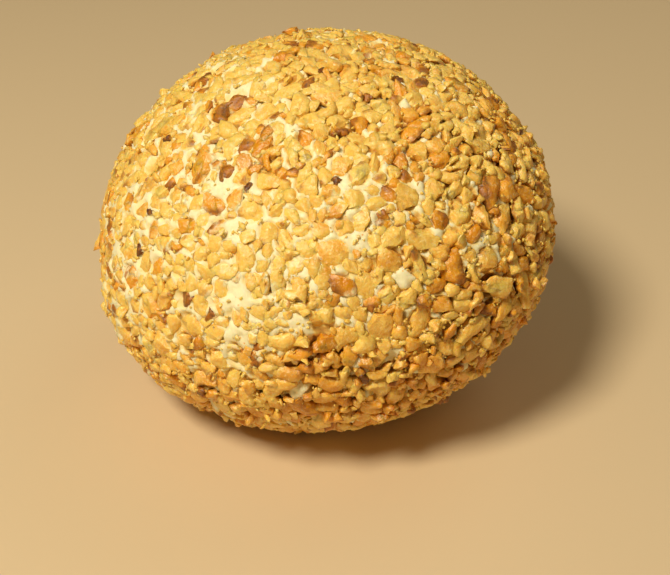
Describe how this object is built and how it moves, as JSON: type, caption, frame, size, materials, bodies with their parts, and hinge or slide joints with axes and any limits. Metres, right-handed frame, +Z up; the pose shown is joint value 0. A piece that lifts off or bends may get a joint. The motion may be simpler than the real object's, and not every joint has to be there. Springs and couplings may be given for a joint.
{
  "type": "nut coated cheese ball",
  "caption": "Hand-rolled cheese ball coated in chopped walnuts, slightly lopsided, resting on a small flat foot.",
  "frame": {"origin": "middle of the box at the height of the flat foot, where the ball stands", "axes": "+Z up, +X to the right along the widest side, -Y towards the shown front"},
  "size_m": [0.1162, 0.1126, 0.0926],
  "materials": {
    "nut_coat": "golden chopped walnuts pressed into cream-white soft cheese"
  },
  "bodies": {
    "root": {"cheese_ball": "nut_coat"}
  },
  "joints": []
}
